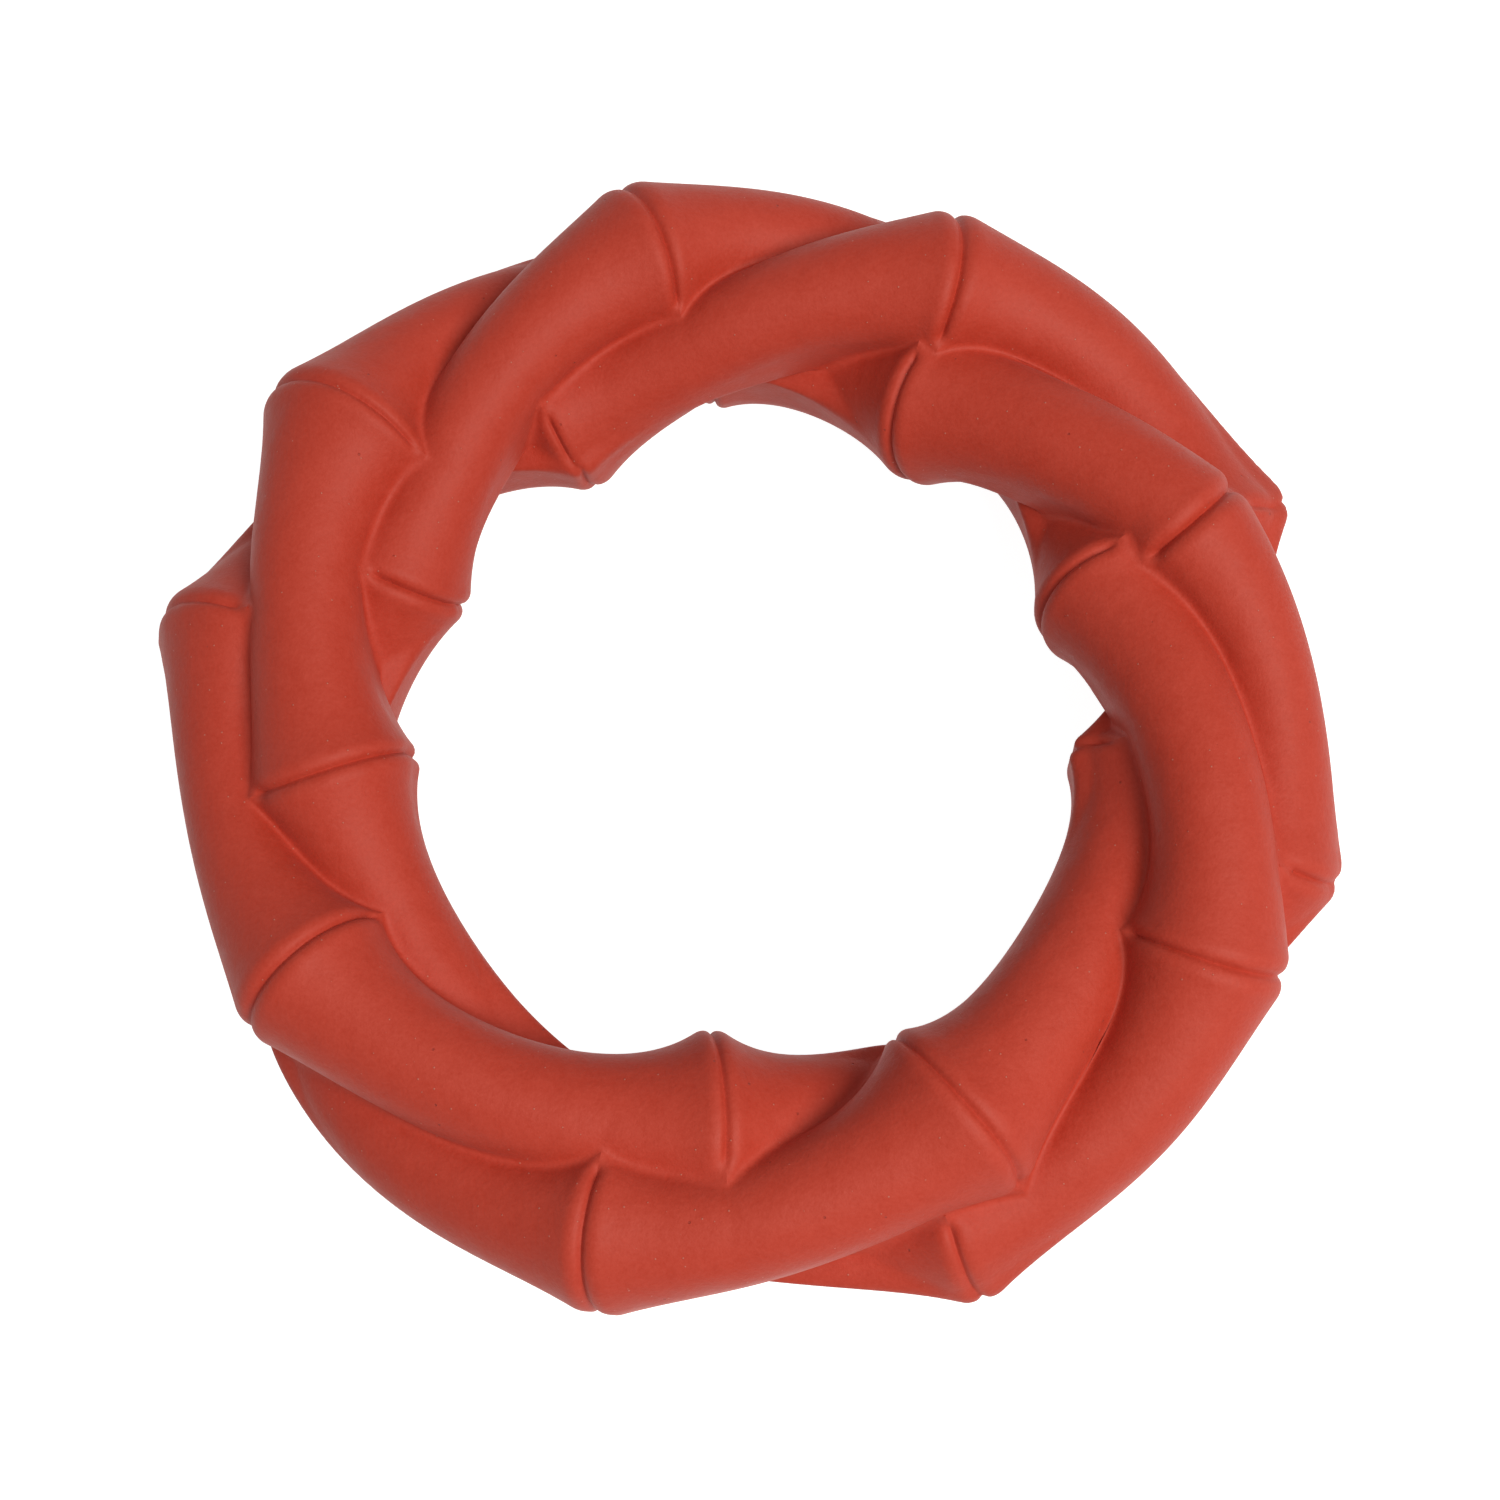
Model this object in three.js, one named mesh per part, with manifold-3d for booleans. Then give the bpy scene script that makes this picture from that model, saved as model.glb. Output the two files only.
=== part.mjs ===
// A dog's chew and tug ring, moulded in solid natural rubber as bamboo stalks twisted round each other.
// One endless stalk goes round the ring three times and round the core of the section seven times.
// The moulding is divided where its surface is: along the grooves between the stalks and at the creases
// of the bamboo's nodes, into eight segments for each turn. Millimetres, the ring's axis along +Z.
import * as THREE from "three";
import { mergeVertices } from "three/addons/utils/BufferGeometryUtils.js";
import Module from "manifold-3d";

// Driving dimensions
const ringRadius = 59.5; // from the ring's axis to the core of the twisted section
const stalkOffset = 7.55; // from the core to the middle of a stalk
const stalkRadius = 6.7; // of a stalk far from its nodes
const lipLength = 8.5; // distance in which a node's lips fade into the stalk
const creaseDepth = 1.4; // of the notch that rounds a node's two lips, at the crease between them
const creaseReach = 2.2; // from the crease to the end of the notch
const wallDraft = Math.tan(THREE.MathUtils.degToRad(3)); // of the mould's walls
const restDepth = 0.5; // taken off the lowest lips, to rest on
const seamGap = 0.3; // between neighbouring segments
const partingBlend = 1.2; // height over which the two halves of the moulding meet

// The twist
const turns = 3; // of the stalk round the ring
const coreTurns = 7; // of the stalk round the core, in its three turns
const twistStart = 126.5; // degrees round the core where the first turn starts
// How the twist strays from even: waves in the whole stalk, their size and the place of their crest,
// in degrees. The wave of three gives each turn its tight side and its slack side.
const strays = [
  { waves: 1, size: 1.8, crest: -65 },
  { waves: 2, size: 6.6, crest: 155 },
  { waves: 3, size: 31.7, crest: -64 },
  { waves: 4, size: 3.3, crest: -131 },
  { waves: 5, size: 4.1, crest: -64 },
];

// The creases of each turn: degrees round the ring from the start of the stalk, how far the lips stand proud
// of the stalk there, and how much the segment that follows swells between its lips
const creases = [
  [
    ...[[-29, 6.4, -0.2], [24.5, 4.5, 0.7], [63.5, 7.8, 0], [97, 6.2, 0.8]],
    ...[[152.5, 5.9, 0.2], [194, 4.7, 1.4], [256, 5.9, -0.2], [294, 4.4, -0.2]],
  ],
  [
    ...[[348, 4.8, 0.2], [397, 5.9, -0.3], [430.5, 5.6, 0.2], [478.5, 4.3, 0.7]],
    ...[[516, 6.4, 0], [550, 5.9, 0.5], [622, 4.6, 0.1], [666, 6.6, 0]],
  ],
  [
    ...[[717, 5.9, -0.1], [749.5, 5.6, 0.2], [787.5, 2.2, -0.5], [824, 5.5, -0.2]],
    ...[[853, 5.9, 1.3], [904.5, 6.7, 0.4], [958, 4.5, -0.6], [999, 7.3, 0]],
  ],
];

// Facets
const rowStep = 6; // longest step along a stalk
// Distances of a segment's first rows from its crease
const endRows = [seamGap / 2, 0.65 * creaseReach, 1.6 * creaseReach];
const skinColumns = 13; // points across the skin, from groove to groove

const red = 0xb54535;
const fullTurn = 2 * Math.PI;
const wholeStalk = turns * fullTurn;
const degrees = THREE.MathUtils.degToRad;
const outerReach = stalkOffset + stalkRadius + Math.max(...creases.flat().map(([, lip]) => lip));

// Angle of the stalk's middle round the core, at a ring angle counted on through the three turns
function twistAt(angle) {
  let twist = degrees(twistStart) - (coreTurns / turns) * angle;
  for (const { waves, size, crest } of strays)
    twist += degrees(size) * Math.cos((waves / turns) * angle - degrees(crest));
  return twist;
}

function twistRate(angle) {
  let rate = -coreTurns / turns;
  for (const { waves, size, crest } of strays)
    rate -= degrees(size) * (waves / turns) * Math.sin((waves / turns) * angle - degrees(crest));
  return rate;
}

// Distance of the stalk's middle from the ring's axis, and the lean of the stalk off the ring's tangent
function middleRadius(angle) {
  return ringRadius + stalkOffset * Math.cos(twistAt(angle));
}

function leanAt(angle) {
  return Math.atan2(-stalkOffset * twistRate(angle), middleRadius(angle));
}

// Length of the stalk up to each step of its ring angle
const lengthSteps = 2160;
const stepAngle = wholeStalk / lengthSteps;
const lengths = [0];
for (let i = 0; i < lengthSteps; i++) {
  const middle = (i + 0.5) * stepAngle;
  lengths.push(lengths[i] + (middleRadius(middle) / Math.cos(leanAt(middle))) * stepAngle);
}
const stalkLength = lengths[lengthSteps];

function lengthAt(angle) {
  const laps = Math.floor(angle / wholeStalk);
  const steps = (angle - laps * wholeStalk) / stepAngle;
  const i = Math.min(Math.floor(steps), lengthSteps - 1);
  return laps * stalkLength + lengths[i] + (steps - i) * (lengths[i + 1] - lengths[i]);
}

function angleAt(length) {
  const laps = Math.floor(length / stalkLength);
  const rest = length - laps * stalkLength;
  let low = 0;
  let high = lengthSteps;
  while (high - low > 1) {
    const mid = (low + high) >> 1;
    if (lengths[mid] > rest) high = mid;
    else low = mid;
  }
  const share = (rest - lengths[low]) / (lengths[high] - lengths[low]);
  return laps * wholeStalk + (low + share) * stepAngle;
}

const starts = creases.flat().map(([place]) => lengthAt(degrees(place)));
const ends = [...starts.slice(1), starts[0] + stalkLength];
const segments = creases.flat().map(([, lip, swell], i) => ({ start: starts[i], end: ends[i], lip, swell }));

// Radius of the stalk: its own, with each segment's swell, flared to the lips and notched at the creases
function stalkRadiusAt(length) {
  let radius = stalkRadius;
  for (const { start, end, lip, swell } of segments) {
    const past = THREE.MathUtils.euclideanModulo(length - start, stalkLength);
    const away = Math.min(past, stalkLength - past);
    const nick = Math.max(0, 1 - away / creaseReach);
    radius += lip * Math.exp(-away / lipLength) - creaseDepth * nick * nick;
    if (past < end - start) radius += swell * Math.sin((Math.PI * past) / (end - start)) ** 2;
  }
  return radius;
}

// How far a point of the section stands out of one stalk. The mould opens up and down, so rubber fills
// what a stalk overhangs: on the upper half a point under the stalk's widest line counts as on that line.
function outOfStalk(angle, across, up, upperHalf) {
  const twist = twistAt(angle);
  const sinTwist = Math.sin(twist);
  const cosTwist = Math.cos(twist);
  const sinLean = Math.sin(leanAt(angle));
  const stretch = sinLean * sinLean;
  const dx = across - stalkOffset * cosTwist;
  const widest = (-dx * stretch * sinTwist * cosTwist) / (1 - stretch * cosTwist * cosTwist);
  const dz = up - stalkOffset * sinTwist;
  const height = upperHalf ? Math.max(dz, widest) : Math.min(dz, widest);
  const sideways = height * cosTwist - dx * sinTwist;
  const away = Math.sqrt(dx * dx + height * height - stretch * sideways * sideways);
  const out = away - stalkRadiusAt(lengthAt(angle) - sideways * sinLean);
  return out - wallDraft * Math.abs(height - dz);
}

function outOfStalks(angle, across, up, upperHalf) {
  let least = Infinity;
  for (let turn = 0; turn < turns; turn++)
    least = Math.min(least, outOfStalk(angle + turn * fullTurn, across, up, upperHalf));
  return least;
}

function outOfMoulding(angle, across, up) {
  const share = THREE.MathUtils.smoothstep(up, -partingBlend, partingBlend);
  const upper = share > 0 ? outOfStalks(angle, across, up, true) : 0;
  const lower = share < 1 ? outOfStalks(angle, across, up, false) : 0;
  return share * upper + (1 - share) * lower;
}

// Distance from the core to the skin, in a direction round the core
function skinDistance(angle, around) {
  const x = Math.cos(around);
  const z = Math.sin(around);
  let inside = stalkOffset / 2;
  let outside = outerReach * 1.1;
  for (let i = 0; i < 22; i++) {
    const middle = (inside + outside) / 2;
    if (outOfMoulding(angle, middle * x, middle * z) < 0) inside = middle;
    else outside = middle;
  }
  return inside;
}

// Directions of the two grooves beside a stalk: the stalk's next turn lies after it, and the last before it
const betweenTurns = fullTurn * Math.round(coreTurns / turns);

function grooveAfter(angle) {
  return (twistAt(angle) + twistAt(angle + fullTurn) + betweenTurns) / 2;
}

function grooveBefore(angle) {
  return grooveAfter(angle - fullTurn) - betweenTurns;
}

function ringPoint(angle, around, away) {
  const radius = ringRadius + away * Math.cos(around);
  return [radius * Math.sin(angle), radius * Math.cos(angle), away * Math.sin(around)];
}

// A point of a segment's row. side runs from -1 at one groove to 1 at the other, and share is its place
// between the core and the skin. The row stands square to the stalk, so its ring angle changes across it.
function rowPoint(rowAngle, side, share) {
  let angle = rowAngle;
  let around = twistAt(angle);
  let away = share * stalkOffset;
  for (let i = 0; i < 4; i++) {
    const inset = Math.asin(seamGap / 2 / away);
    const low = grooveAfter(angle) + inset;
    const high = grooveBefore(angle) - inset;
    around = low + ((high - low) * (side + 1)) / 2;
    away = share * skinDistance(angle, around);
    const sideways = away * Math.sin(around - twistAt(angle));
    const lean = leanAt(angle);
    angle = rowAngle + (sideways * Math.sin(lean) * Math.cos(lean)) / middleRadius(angle);
  }
  return ringPoint(angle, around, away);
}

// The edge of a segment at the core, clear of its two neighbours there
function corePoint(rowAngle) {
  const halfWedge = (grooveBefore(rowAngle) - grooveAfter(rowAngle)) / 2;
  return ringPoint(rowAngle, twistAt(rowAngle), seamGap / 2 / Math.sin(halfWedge));
}

// One row: from the core along one groove's wall, across the skin and back down the other wall
function rowPoints(rowAngle) {
  const points = [corePoint(rowAngle), rowPoint(rowAngle, -1, 0.5)];
  for (let i = 0; i < skinColumns; i++)
    points.push(rowPoint(rowAngle, (2 * i) / (skinColumns - 1) - 1, 1));
  points.push(rowPoint(rowAngle, 1, 0.5));
  return points;
}

// Places of a segment's rows: close together at its lips and even between them
function rowLengths(start, end) {
  const first = start + endRows.at(-1);
  const last = end - endRows.at(-1);
  const steps = Math.ceil((last - first) / rowStep);
  const between = [];
  for (let i = 1; i < steps; i++) between.push(first + ((last - first) * i) / steps);
  return [
    ...endRows.map((away) => start + away),
    ...between,
    ...endRows.map((away) => end - away).reverse(),
  ];
}

function segmentGeometry(start, end) {
  const rows = rowLengths(start, end).map((length) => rowPoints(angleAt(length)));
  const columns = rows[0].length;
  const index = [];
  // Both walls are split along the same diagonal, from the core outwards, so that neighbours keep clear
  for (let row = 0; row + 1 < rows.length; row++)
    for (let column = 0; column < columns; column++) {
      const a = row * columns + column;
      const b = row * columns + ((column + 1) % columns);
      if (column < columns / 2) index.push(a, b, b + columns, a, b + columns, a + columns);
      else index.push(a, b, a + columns, b, b + columns, a + columns);
    }
  const lastRow = (rows.length - 1) * columns;
  for (let column = 1; column + 1 < columns; column++) {
    index.push(0, column + 1, column);
    index.push(lastRow, lastRow + column, lastRow + column + 1);
  }
  const geometry = new THREE.BufferGeometry();
  geometry.setAttribute("position", new THREE.Float32BufferAttribute(rows.flat(2), 3));
  geometry.setIndex(index);
  return geometry;
}

// The rest: the lowest lips are cut off level, so that the ring stands on flat faces
const wasm = await Module();
wasm.setup();

function solidOf(geometry) {
  const bare = geometry.clone();
  bare.deleteAttribute("normal");
  bare.deleteAttribute("uv");
  const merged = mergeVertices(bare);
  return new wasm.Manifold(
    new wasm.Mesh({
      numProp: 3,
      vertProperties: merged.getAttribute("position").array,
      triVerts: new Uint32Array(merged.index.array),
    }),
  );
}

function geometryOf(solid) {
  const mesh = solid.getMesh();
  const geometry = new THREE.BufferGeometry();
  geometry.setAttribute("position", new THREE.BufferAttribute(mesh.vertProperties, 3));
  geometry.setIndex(new THREE.BufferAttribute(mesh.triVerts, 1));
  return geometry;
}

function cutLevel(geometry, level) {
  geometry.computeBoundingBox();
  if (geometry.boundingBox.min.z >= level) return geometry;
  const width = 4 * (ringRadius + outerReach);
  const slab = new THREE.BoxGeometry(width, width, 2 * outerReach);
  slab.translate(0, 0, level - outerReach);
  return geometryOf(solidOf(geometry).subtract(solidOf(slab)));
}

// Assembly
const ring = new THREE.Group();
const geometries = segments.map(({ start, end }) => segmentGeometry(start, end));
const lowest = Math.min(
  ...geometries.map((geometry) => {
    geometry.computeBoundingBox();
    return geometry.boundingBox.min.z;
  }),
);
const segmentsPerTurn = creases[0].length;
for (let turn = 0; turn < turns; turn++) {
  const group = new THREE.Group();
  for (let i = 0; i < segmentsPerTurn; i++) {
    const geometry = cutLevel(geometries[turn * segmentsPerTurn + i], lowest + restDepth);
    geometry.computeVertexNormals();
    const rubber = new THREE.MeshStandardMaterial({
      color: red,
      roughness: 0.6,
      metalness: 0,
      flatShading: true,
    });
    const segment = new THREE.Mesh(geometry, rubber);
    segment.name = `turn_${turn + 1}_segment_${i + 1}`;
    group.add(segment);
  }
  ring.add(group);
}

// The origin: the middle of the ring's outline, on the plane that it stands on
const box = new THREE.Box3().setFromObject(ring);
const middle = box.getCenter(new THREE.Vector3());
ring.position.set(-middle.x, -middle.y, -box.min.z);

export default ring;
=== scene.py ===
import math

import bpy
import numpy as np
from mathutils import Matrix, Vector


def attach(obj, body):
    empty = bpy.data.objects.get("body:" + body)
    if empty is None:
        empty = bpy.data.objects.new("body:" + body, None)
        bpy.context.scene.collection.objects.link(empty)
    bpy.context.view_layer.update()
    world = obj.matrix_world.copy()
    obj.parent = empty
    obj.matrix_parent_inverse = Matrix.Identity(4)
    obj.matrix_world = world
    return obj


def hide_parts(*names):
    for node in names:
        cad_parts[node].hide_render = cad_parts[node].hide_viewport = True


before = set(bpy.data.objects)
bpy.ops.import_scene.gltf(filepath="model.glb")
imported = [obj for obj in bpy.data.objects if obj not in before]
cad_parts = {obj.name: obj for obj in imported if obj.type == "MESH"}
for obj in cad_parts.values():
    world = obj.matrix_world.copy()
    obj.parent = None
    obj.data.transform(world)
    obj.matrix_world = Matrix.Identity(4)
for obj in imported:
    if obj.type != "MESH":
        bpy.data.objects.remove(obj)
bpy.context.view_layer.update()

# The segments of the ring: one solid moulding of natural rubber, sculpted as bamboo stalks that twist
# round each other. One endless stalk goes round the ring three times and round its own core seven
# times, and it is divided at its creases and at the grooves beside it. All lengths are millimetres.
ring_radius = 59.5  # from the ring's axis to the core of the twisted section
ring_centre = (1.4780, -0.0104)  # of that axis in the frame
core_height = 18.6745  # of the core over the plane that the ring stands on
stalk_offset = 7.55  # from the core to the middle of a stalk
stalk_radius = 6.7  # of a stalk far from its nodes
lip_length = 8.5  # distance in which a node's lips fade into the stalk
notch_depth = 1.4  # of the notch that rounds a node's two lips, at the crease between them
notch_reach = 2.2  # from the crease to the end of the notch
slit_depth = 0.28  # of the sharp slit at the bottom of the notch, and half its width
slit_reach = 0.42
notch_fade = 1.1  # distance from another stalk in which a notch comes up to its full depth
groove_fillet = 1.2  # radius of the rubber in the groove between two stalks
groove_depth = 0.38  # that the skin sinks towards a groove, and in what distance from it
groove_reach = 2.8
wall_draft = math.tan(math.radians(3))  # of the mould's walls
parting_blend = 1.2  # height over which the two halves of the moulding meet
outer_reach = 22  # further from the core than any rubber
core_reach = 0.3  # from the core to the inner point of a segment's row
turns = 3
core_turns = 7
twist_start = 126.5  # degrees round the core
# How the twist strays from even: waves in the whole stalk, and the degrees of their size and of their crest
strays = ((1, 1.8, -65), (2, 6.6, 155), (3, 31.7, -64), (4, 3.3, -131), (5, 4.1, -64))
# The creases of each turn: degrees round the ring from the start of the stalk, how far the lips stand proud
# of the stalk there, and how much the segment that follows swells between its lips
creases = (
    *((-29, 6.4, -0.2), (24.5, 4.5, 0.7), (63.5, 7.8, 0), (97, 6.2, 0.8)),
    *((152.5, 5.9, 0.2), (194, 4.7, 1.4), (256, 5.9, -0.2), (294, 4.4, -0.2)),
    *((348, 4.8, 0.2), (397, 5.9, -0.3), (430.5, 5.6, 0.2), (478.5, 4.3, 0.7)),
    *((516, 6.4, 0), (550, 5.9, 0.5), (622, 4.6, 0.1), (666, 6.6, 0)),
    *((717, 5.9, -0.1), (749.5, 5.6, 0.2), (787.5, 2.2, -0.5), (824, 5.5, -0.2)),
    *((853, 5.9, 1.3), (904.5, 6.7, 0.4), (958, 4.5, -0.6), (999, 7.3, 0)),
)
mm_per_metre = 1000
full_turn = 2 * math.pi
whole_stalk = turns * full_turn
between_turns = full_turn * round(core_turns / turns)  # round the core, to the stalk's own next turn


def twist_at(angle):
    """Angle of the stalk's middle round the core: an even twist and the cosine waves that stray from it."""
    twist = math.radians(twist_start) - core_turns / turns * angle
    for waves, size, crest in strays:
        twist = twist + math.radians(size) * np.cos(waves / turns * angle - math.radians(crest))
    return twist


# The stalk's middle at each step of the ring angle, from before its start to past its end:
# how far out and how high it lies from the core, the outward and upward parts of its direction, its pace,
# which is its length for each radian, and its length so far
angle_step = math.radians(0.1)
spare = 2.5 * full_turn
path_angles = np.arange(-spare, whole_stalk + spare + angle_step, angle_step)
path_twist = twist_at(path_angles)
path_rate = np.gradient(path_twist, angle_step)
path_out, path_up = stalk_offset * np.cos(path_twist), stalk_offset * np.sin(path_twist)
path_pace = np.hypot(ring_radius + path_out, stalk_offset * path_rate)
path_length = np.cumsum(path_pace) * angle_step
path_length = path_length - np.interp(0, path_angles, path_length)
stalk_length = np.interp(whole_stalk, path_angles, path_length)
path = np.stack(
    [
        path_out,
        path_up,
        -path_up * path_rate / path_pace,
        path_out * path_rate / path_pace,
        path_pace,
        path_length,
    ],
    axis=-1,
)
crease_lengths = np.interp(np.radians([place for place, _, _ in creases]), path_angles, path_length)
segment_ends = np.append(crease_lengths[1:], crease_lengths[0] + stalk_length)

# The stalk's girth at each step of its length: the radius, which is its own with each segment's swell, flared
# to each node's lips by an exponential, and the depth of the notch and sharp slit between the lips
length_step = 0.04
girth_spare = 40
girth_start, girth_end = path_length[0] - girth_spare, path_length[-1] + girth_spare
girth_lengths = np.arange(girth_start, girth_end, length_step)
radii, notches = np.full(len(girth_lengths), stalk_radius), np.zeros(len(girth_lengths))
for start, end, (_, lip, swell) in zip(crease_lengths, segment_ends, creases):
    past = (girth_lengths - start) % stalk_length
    away = np.minimum(past, stalk_length - past)
    radii += lip * np.exp(-away / lip_length)
    radii += np.where(past < end - start, swell * np.sin(math.pi * past / (end - start)) ** 2, 0)
    notches += notch_depth * np.maximum(1 - away / notch_reach, 0) ** 2
    notches += slit_depth * np.exp(-((away / slit_reach) ** 2))
girths = np.stack([radii, notches], axis=-1)


def between_steps(table, start, step, value):
    """The rows of a table at given values, between the two steps that each lies between."""
    steps = (value - start) / step
    whole = steps.astype(int)
    share = steps - whole
    share = share.reshape(share.shape + (1,) * (table.ndim - 1))
    return table[whole] * (1 - share) + table[whole + 1] * share


def angle_at(length):
    """Ring angle of a place along the stalk's middle line, between the steps of its path."""
    return np.interp(length, path_length, path_angles)


def out_of_stalk(angle, across, up):
    """How far a point of the ring's section stands out of one stalk: the distance from the stalk's middle
    line, less its radius. The mould opens up and down, so a point of the upper half that lies under the
    stalk's widest line counts as on that line, less the wall's draft, and in the lower half one over it.
    The halves meet by a smooth step. The notch's depth, the place along the stalk and its pace come too."""
    row = between_steps(path, path_angles[0], angle_step, angle)
    middle_out, middle_up, lean_out, lean_up, pace, length = np.moveaxis(row, -1, 0)
    dx, dz = across - middle_out, up - middle_up
    widest = dx * lean_out * lean_up / (1 - lean_up * lean_up)
    step = np.clip(0.5 + up / parting_blend / 2, 0, 1)
    step = step * step * (3 - 2 * step)
    out, notch, place = 0, 0, length
    for share, height in ((step, np.maximum(dz, widest)), (1 - step, np.minimum(dz, widest))):
        along = dx * lean_out + height * lean_up
        away = np.sqrt(dx * dx + height * height - along * along)
        girth = between_steps(girths, girth_start, length_step, length + along)
        radius, nick = np.moveaxis(girth, -1, 0)
        out = out + share * (away - radius - wall_draft * np.abs(height - dz))
        notch = notch + share * nick
        place = place + share * along
    return out, notch, place, pace


def fillet_min(a, b):
    """The lesser of two distances. Where they come near each other the skin sinks towards the groove, and
    where they are nearly equal it is rounded off, which fills the groove's bottom."""
    apart = np.abs(a - b)
    near = np.maximum(groove_fillet - apart, 0) / groove_fillet
    sunk = groove_depth * np.exp(-((apart / groove_reach) ** 2))
    return np.minimum(a, b) + sunk - near * near * groove_fillet / 4


step_share = 0.85  # of its distance from the rubber that a point comes in at each step


def come_in(angle, around, away):
    """One step of a point along its ray from the core, by its distance from the rubber of all three turns.
    A notch of one stalk fades out towards the others."""
    across, up = away * np.cos(around), away * np.sin(around)
    stalks = [out_of_stalk(angle + turn * full_turn, across, up) for turn in range(turns)]
    out_of_rubber = outer_reach
    for turn, (out, notch, _, _) in enumerate(stalks):
        clear = np.maximum(np.minimum(stalks[turn - 1][0], stalks[turn - 2][0]), 0)
        out = out + notch * (1 - np.exp(-((clear / notch_fade) ** 2)))
        out_of_rubber = fillet_min(out_of_rubber, out)
    _, _, place, pace = stalks[0]
    return away - step_share * out_of_rubber, place, pace


# The groove between a stalk and its own next turn: the direction round the core, at each ring angle, in
# which the skin is as far out of the one as of the other, found by halving a range of directions
groove_places = 6001
groove_search = 0.4  # radians to each side of half-way between the two
halvings = 14
groove_steps = 24
groove_angles = np.linspace(0, whole_stalk, groove_places)
middle = (twist_at(groove_angles) + twist_at(groove_angles + full_turn) + between_turns) / 2
groove_low, groove_high = middle - groove_search, middle + groove_search
for _ in range(halvings):
    middle = (groove_low + groove_high) / 2
    away = np.full(middle.shape, outer_reach)
    for _ in range(groove_steps):
        away, _, _ = come_in(groove_angles, middle, away)
    across, up = away * np.cos(middle), away * np.sin(middle)
    out_of_this = out_of_stalk(groove_angles, across, up)[0]
    nearer_next = out_of_this > out_of_stalk(groove_angles + full_turn, across, up)[0]
    groove_low = np.where(nearer_next, middle, groove_low)
    groove_high = np.where(nearer_next, groove_high, middle)
groove_twists = (groove_low + groove_high) / 2


def groove_after(angle):
    """Direction of the groove on the side of the stalk's next turn: the table carried on past its ends."""
    lap = np.floor(angle / whole_stalk)
    return np.interp(angle - lap * whole_stalk, groove_angles, groove_twists) - lap * core_turns * full_turn


def groove_before(angle):
    """Direction of the groove on the side of the turn before, which is that turn's groove_after."""
    return groove_after(angle - full_turn) - between_turns


end_steps = 44
end_slide = 0.5  # share of the way to its row that a point slides at each step
skin_steps = 26


def groove_ends(places, groove):
    """Directions in which rows of a segment end at a groove: the groove's own, at the ring angle there."""
    angle = angle_at(places)
    away = np.full(angle.shape, outer_reach)
    for _ in range(end_steps):
        away, here, pace = come_in(angle, groove(angle), away)
        angle = angle + end_slide * (places - here) / pace
    return groove(angle)


def skin_points(places, around):
    """Skin points in given directions on rows square to the stalk. Each comes in along its ray, while its
    ring angle slides until its place along the stalk is its row's."""
    angle = np.broadcast_to(angle_at(places), around.shape)
    away = np.full(around.shape, outer_reach)
    for _ in range(skin_steps):
        away, here, pace = come_in(angle, around, away)
        angle = angle + (places - here) / pace
    return ring_points(angle, around, away)


def ring_points(angle, around, away):
    """Metres in the frame: the ring angle turns clockwise from +Y seen from above. The rest is cut level."""
    radius = ring_radius + away * np.cos(around)
    x = ring_centre[0] + radius * np.sin(angle)
    y = ring_centre[1] + radius * np.cos(angle)
    z = np.maximum(core_height + away * np.sin(around), 0)
    return np.stack([x, y, z], axis=-1) / mm_per_metre


row_step = 0.45
skin_columns = 80
column_crowding = 0.6  # how much closer the columns stand at the grooves than evenly
lip_rows = np.array([0, 0.1, 0.2, 0.3, 0.4, 0.52, 0.66, 0.82, 1.0, 1.25, 1.55, 1.9, 2.3])


def segment_rows(start, end):
    """Places of a segment's rows along the stalk: close at its lips and even between them."""
    first, last = start + lip_rows[-1] + row_step, end - lip_rows[-1] - row_step
    between = np.linspace(first, last, math.ceil((last - first) / row_step))
    return np.concatenate([start + lip_rows, between, end - lip_rows[::-1]])


def segment_mesh(start, end):
    """Points and faces of a segment, a closed solid: rows square to the stalk, each a loop out along one
    groove's wall from the core, over the skin and back down the other's, with a fan at each end."""
    places = segment_rows(start, end)
    low, high = groove_ends(places, groove_after), groove_ends(places, groove_before)
    steps = np.linspace(0, 1, skin_columns)
    steps = steps - column_crowding * np.sin(full_turn * steps) / full_turn
    skin = skin_points(places[:, None], low[:, None] + (high - low)[:, None] * steps)
    core = ring_points(angle_at(places), twist_at(angle_at(places)), core_reach)
    points = np.concatenate([core[:, None], skin], axis=1)
    index = np.arange(points.shape[0] * points.shape[1]).reshape(points.shape[:2])
    after = np.roll(index, -1, axis=1)
    sides = np.stack([index[:-1], after[:-1], after[1:], index[1:]], axis=-1).reshape(-1, 4)
    first, last = index[0], index[-1]
    hub = np.zeros(skin_columns - 1, int)
    start_fan = np.stack([hub + first[0], first[2:], first[1:-1]], axis=-1)
    end_fan = np.stack([hub + last[0], last[1:-1], last[2:]], axis=-1)
    return points.reshape(-1, 3), [*sides.tolist(), *start_fan.tolist(), *end_fan.tolist()]


sharp_angle = math.radians(50)


def solid_object(name, points, faces):
    """Puts points and faces into a mesh and shades it smooth but for its sharp edges."""
    mesh = bpy.data.meshes.new(name)
    mesh.from_pydata(points, [], faces)
    mesh.shade_smooth()
    mesh.set_sharp_from_angle(angle=sharp_angle)
    piece = bpy.data.objects.new(name, mesh)
    bpy.context.scene.collection.objects.link(piece)
    return piece


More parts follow.
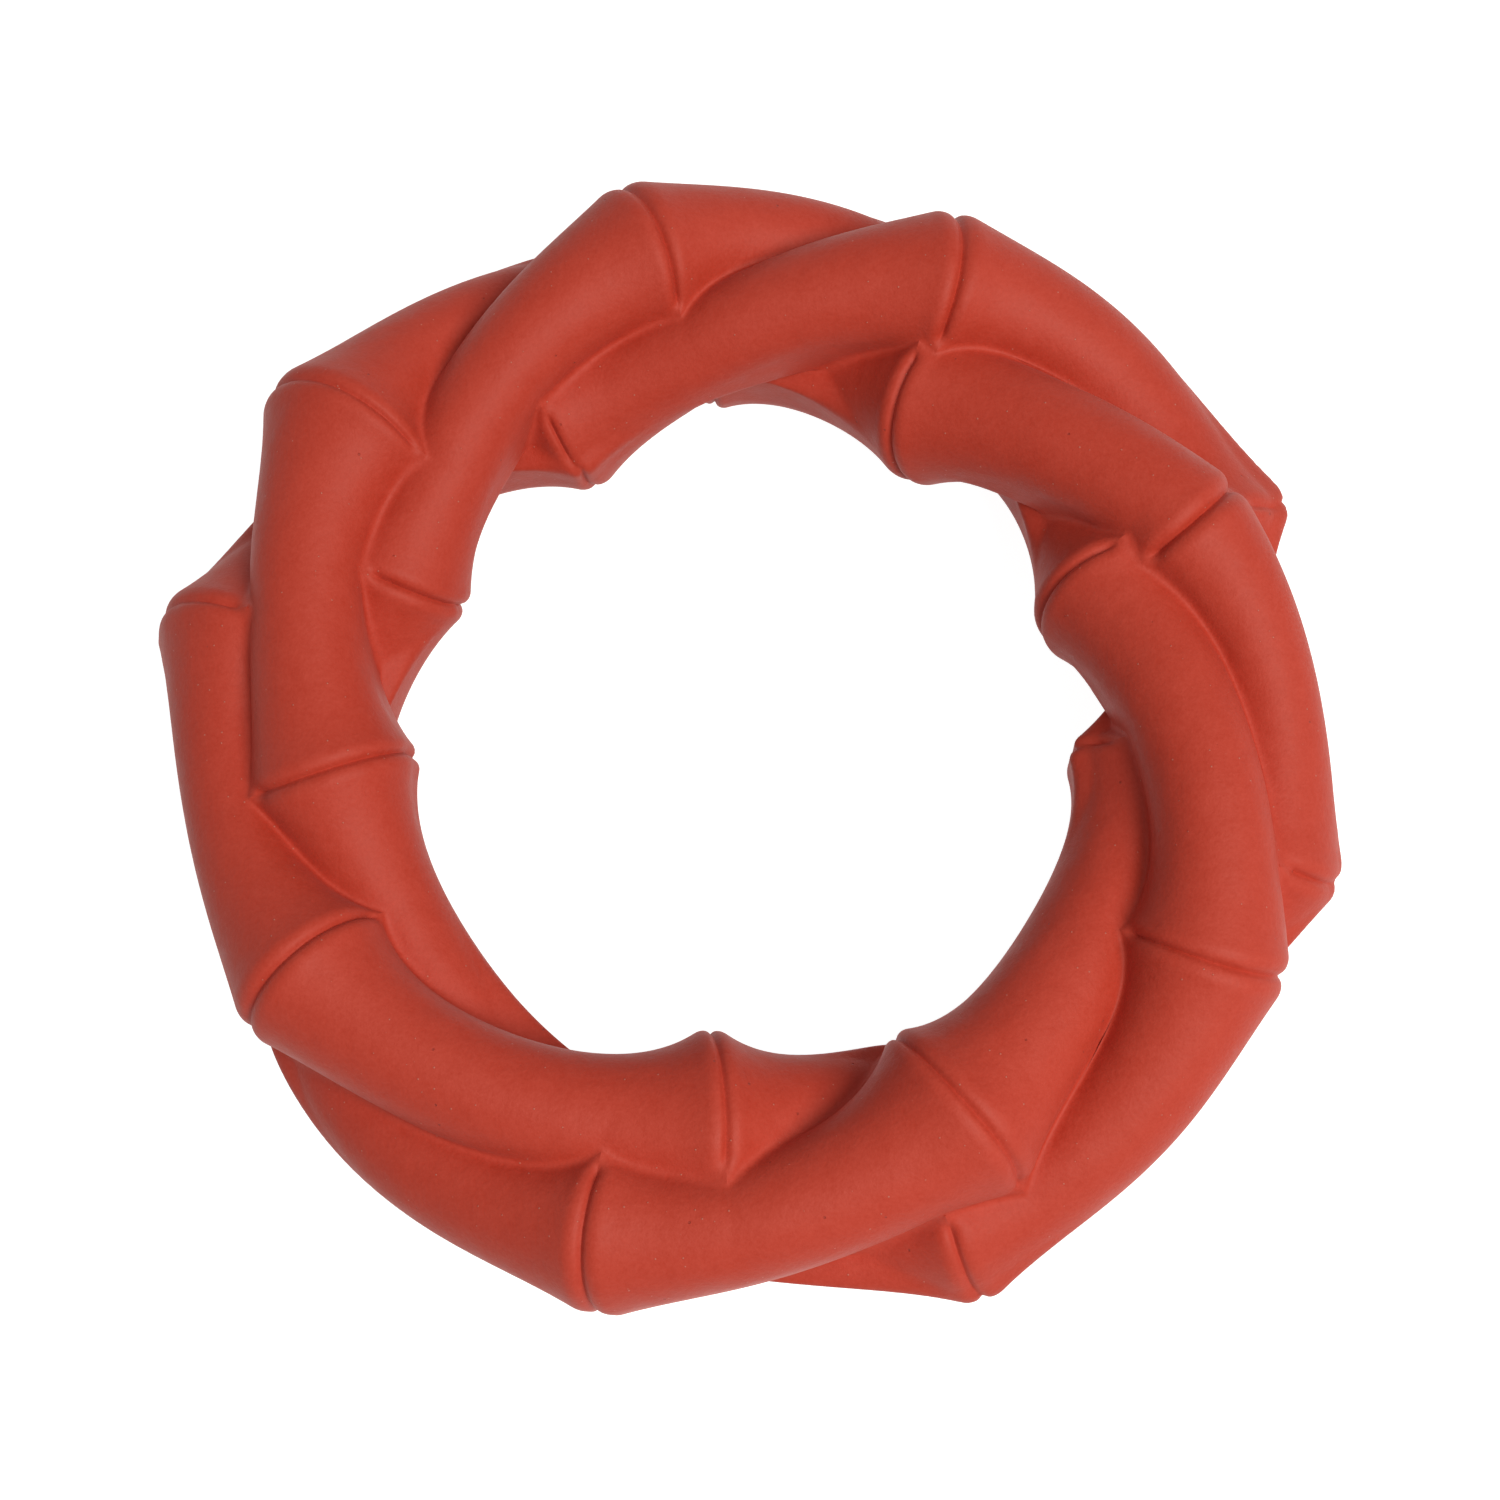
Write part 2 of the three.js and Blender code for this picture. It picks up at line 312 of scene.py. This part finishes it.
class Shade:
    """A socket of a material's nodes. Operators on it add Math nodes, and node() adds any other node."""

    def __init__(self, tree, socket=None):
        self.tree = tree
        self.socket = socket

    def node(self, kind, settings, inputs, output=0):
        """Adds a node: its settings and a colour ramp's stops, and the value or link of each socket."""
        made = self.tree.nodes.new(kind)
        stops = settings.pop("stops", None)
        for name, value in settings.items():
            setattr(made, name, value)
        if stops:
            for element, (place, colour) in zip(made.color_ramp.elements, stops):
                element.position = place
                element.color = colour
        for name, value in inputs.items():
            if isinstance(value, Shade):
                self.tree.links.new(value.socket, made.inputs[name])
            else:
                made.inputs[name].default_value = value
        return Shade(self.tree, made.outputs[output] if made.outputs else None)

    def maths(self, operation, a, b):
        return self.node("ShaderNodeMath", {"operation": operation}, {0: a, 1: b})

    def __add__(self, other):
        return self.maths("ADD", self, other)

    def __sub__(self, other):
        return self.maths("SUBTRACT", self, other)

    def __rsub__(self, other):
        return self.maths("SUBTRACT", other, self)

    def __mul__(self, other):
        return self.maths("MULTIPLY", self, other)

    __radd__ = __add__
    __rmul__ = __mul__


def noise(place, scale, detail, roughness=0.5):
    """Noise in grains per metre."""
    inputs = {"Vector": place, "Scale": scale, "Detail": detail, "Roughness": roughness}
    return place.node("ShaderNodeTexNoise", {}, inputs)


def ramp(value, low, high):
    """0 at low, 1 at high, even between them and level past them. Low may be the greater."""
    inputs = {"Value": value, "From Min": low, "From Max": high}
    return value.node("ShaderNodeMapRange", {"clamp": True}, inputs)


def dots(place, scale, size, share):
    """Sparse round dots, 1 inside and fading at the edge: a share of the cells of a Voronoi pattern has one
    round its seed."""
    inputs = {"Vector": place, "Scale": scale}
    away = place.node("ShaderNodeTexVoronoi", {}, inputs, output="Distance")
    cell = place.node("ShaderNodeTexVoronoi", {}, inputs, output="Color")
    luck = cell.node("ShaderNodeSeparateColor", {}, {"Color": cell}, output="Red")
    return ramp(away, size, size * 0.6) * ramp(luck, 1 - share, 1 - share + 0.01)


def laid_on(under, colour, share):
    """A colour laid on another: a share of the new one and the rest of the one under it."""
    inputs = {"Factor": share, 6: under, 7: colour}
    return under.node("ShaderNodeMix", {"data_type": "RGBA"}, inputs, output=2)


def shown(tree):
    """1 for the rays that see the white room: the camera's own, and those off metal or through glass."""
    kinds = ("Is Camera Ray", "Is Glossy Ray", "Is Transmission Ray")
    direct, glossy, through = (tree.node("ShaderNodeLightPath", {}, {}, output=kind) for kind in kinds)
    return direct.maths("MAXIMUM", direct, glossy.maths("MAXIMUM", glossy, through))


rubber = bpy.data.materials.new("natural_rubber")
rubber.use_nodes = True
rubber.node_tree.nodes.clear()
tree = Shade(rubber.node_tree)
place = tree.node("ShaderNodeTexCoord", {}, {}, output="Object")
hand_marks = noise(place, scale=120, detail=2)
cloud = noise(place, scale=45, detail=3)
mottle = noise(place, scale=420, detail=4, roughness=0.6)
grain = noise(place, scale=1800, detail=4, roughness=0.7)
specks = dots(place, scale=560, size=0.075, share=0.8)
pits = dots(place, scale=300, size=0.06, share=0.4)
deep_red = (0.462, 0.0385, 0.0175, 1)
bright_red = (0.527, 0.0585, 0.034, 1)
dust = (0.75, 0.42, 0.33, 1)
pit_brown = (0.16, 0.014, 0.01, 1)
red = tree.node(
    "ShaderNodeValToRGB",
    {"stops": ((0.36, deep_red), (0.64, bright_red))},
    {"Fac": 0.2 * cloud + 0.3 * mottle + 0.5 * grain},
)
red = laid_on(red, dust, specks * 0.3)
red = laid_on(red, pit_brown, pits * 0.4)
dent_depth, grain_depth = 0.0008, 0.00018  # metres
dents = tree.node("ShaderNodeBump", {}, {"Strength": 0.5, "Distance": dent_depth, "Height": hand_marks})
relief = 0.4 * mottle + 0.5 * grain + 0.4 * specks - 0.5 * pits
inputs = {"Strength": 0.8, "Distance": grain_depth, "Height": relief, "Normal": dents}
bump = tree.node("ShaderNodeBump", {}, inputs)
surface = tree.node(
    "ShaderNodeBsdfPrincipled",
    {},
    {
        "Base Color": red,
        "Roughness": 0.45 + 0.2 * mottle,
        "Sheen Weight": 0.05,
        "Sheen Roughness": 0.5,
        "Sheen Tint": (1.0, 0.8, 0.75, 1),
        "Specular IOR Level": 0.26,
        "Normal": bump,
    },
)
tree.node("ShaderNodeOutputMaterial", {}, {"Surface": surface})

names = [f"turn_{turn + 1}_segment_{i + 1}" for turn in range(turns) for i in range(len(creases) // turns)]
for name, start, end in zip(names, crease_lengths, segment_ends):
    segment = solid_object(f"rubber_{name}", *segment_mesh(start, end))
    segment.data.materials.append(rubber)
    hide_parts(name)
    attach(segment, "root")

# The floor: a plain white sheet, which keeps the ring's soft shadow. The camera sees it as white.
floor_size = 3.0
floor_mesh = bpy.data.meshes.new("floor")
corners = np.array([(-1, -1, 0), (1, -1, 0), (1, 1, 0), (-1, 1, 0)]) * floor_size / 2
floor_mesh.from_pydata(corners, [], [(0, 1, 2, 3)])
floor = bpy.data.objects.new("floor", floor_mesh)
bpy.context.scene.collection.objects.link(floor)
paper = bpy.data.materials.new("white_paper")
paper.use_nodes = True
paper.node_tree.nodes.clear()
tree = Shade(paper.node_tree)
matt = tree.node("ShaderNodeBsdfPrincipled", {}, {"Base Color": (0.5, 0.5, 0.5, 1), "Roughness": 0.9})
glow = tree.node("ShaderNodeEmission", {}, {"Color": (1, 1, 1, 1), "Strength": shown(tree) * 0.95})
both = tree.node("ShaderNodeAddShader", {}, {0: matt, 1: glow})
tree.node("ShaderNodeOutputMaterial", {}, {"Surface": both})
floor.data.materials.append(paper)

# The light: an even pale room, which the camera sees as white, and a slightly warm soft box high on the
# right, which shades the stalks' sides and the grooves.
world = bpy.data.worlds.new("room")
bpy.context.scene.world = world
world.use_nodes = True
world.node_tree.nodes.clear()
tree = Shade(world.node_tree)
sky = tree.node("ShaderNodeBackground", {}, {"Color": (1, 1, 1, 1), "Strength": 0.25 + 0.75 * shown(tree)})
tree.node("ShaderNodeOutputWorld", {}, {"Surface": sky})


def soft_box(name, place, aim, size, power, colour):
    """A round lamp of a given width, turned from its place towards its aim."""
    data = bpy.data.lights.new(name, "AREA")
    data.shape = "DISK"
    data.size = size
    data.energy = power
    data.color = colour
    lamp = bpy.data.objects.new(name, data)
    lamp.location = place
    lamp.rotation_euler = (Vector(aim) - Vector(place)).to_track_quat("-Z", "Y").to_euler()
    bpy.context.scene.collection.objects.link(lamp)


soft_box("key", place=(0.37, -0.231, 0.671), aim=(0, 0, 0), size=0.5, power=5.1, colour=(1.0, 0.95, 0.85))

# The camera: over the ring's near side, about 13 degrees off the vertical and 1.7 times the ring's width
# away. It looks at a point near the ring's middle. Its own right, top and back are given as directions.
aim = np.array([0.62, -3.28, 0]) + (ring_centre[0], ring_centre[1], core_height)
right = np.array([0.9987, 0.0114, -0.0488])
upward = np.array([0.0, 0.9740, 0.2267])
back = np.array([0.0501, -0.2264, 0.9727])
distance = 265.4
camera = bpy.data.objects.new("camera", bpy.data.cameras.new("camera"))
camera.data.lens = 49.0
camera.data.sensor_width = 36
placed = np.eye(4)
placed[:3, 0], placed[:3, 1], placed[:3, 2] = right, upward, back
placed[:3, 3] = (aim + distance * back) / mm_per_metre
camera.matrix_world = Matrix(placed.tolist())
bpy.context.scene.collection.objects.link(camera)
bpy.context.scene.camera = camera
bpy.context.scene.view_settings.view_transform = "Standard"
